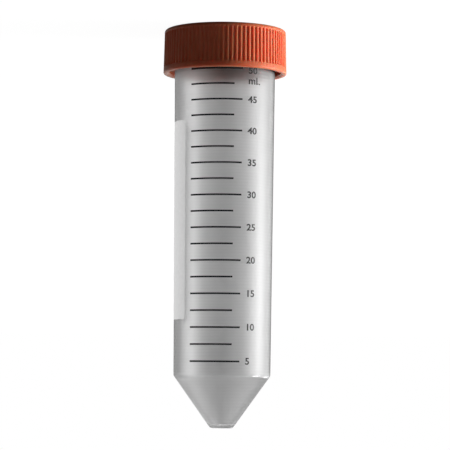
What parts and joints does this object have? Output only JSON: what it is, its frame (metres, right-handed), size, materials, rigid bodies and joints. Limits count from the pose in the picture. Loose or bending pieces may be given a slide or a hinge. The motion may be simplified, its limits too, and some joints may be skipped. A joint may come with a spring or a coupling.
{
  "type": "conical centrifuge tube",
  "caption": "Clear conical-bottom laboratory tube with printed graduations, closed by a ribbed orange screw cap and standing on the cap's flat top.",
  "frame": {"origin": "centre of the cap's flat top, on which the closed tube stands", "axes": "+Z along the tube's axis, from the cap's top towards the tip of the cone; the graduations face -Y"},
  "size_m": [0.0354, 0.0354, 0.114],
  "materials": {
    "clear_plastic": "gloss",
    "orange_plastic": "satin",
    "black_print": "matte",
    "white_print": "matte"
  },
  "bodies": {
    "cap": {"cap": "orange_plastic"},
    "tube": {"tube": "clear_plastic"}
  },
  "joints": [
    {"name": "tube_from_cap", "type": "slide", "parent": "cap", "child": "tube", "axis": [0, 0, 1], "range_m": [0, 0.015]}
  ]
}
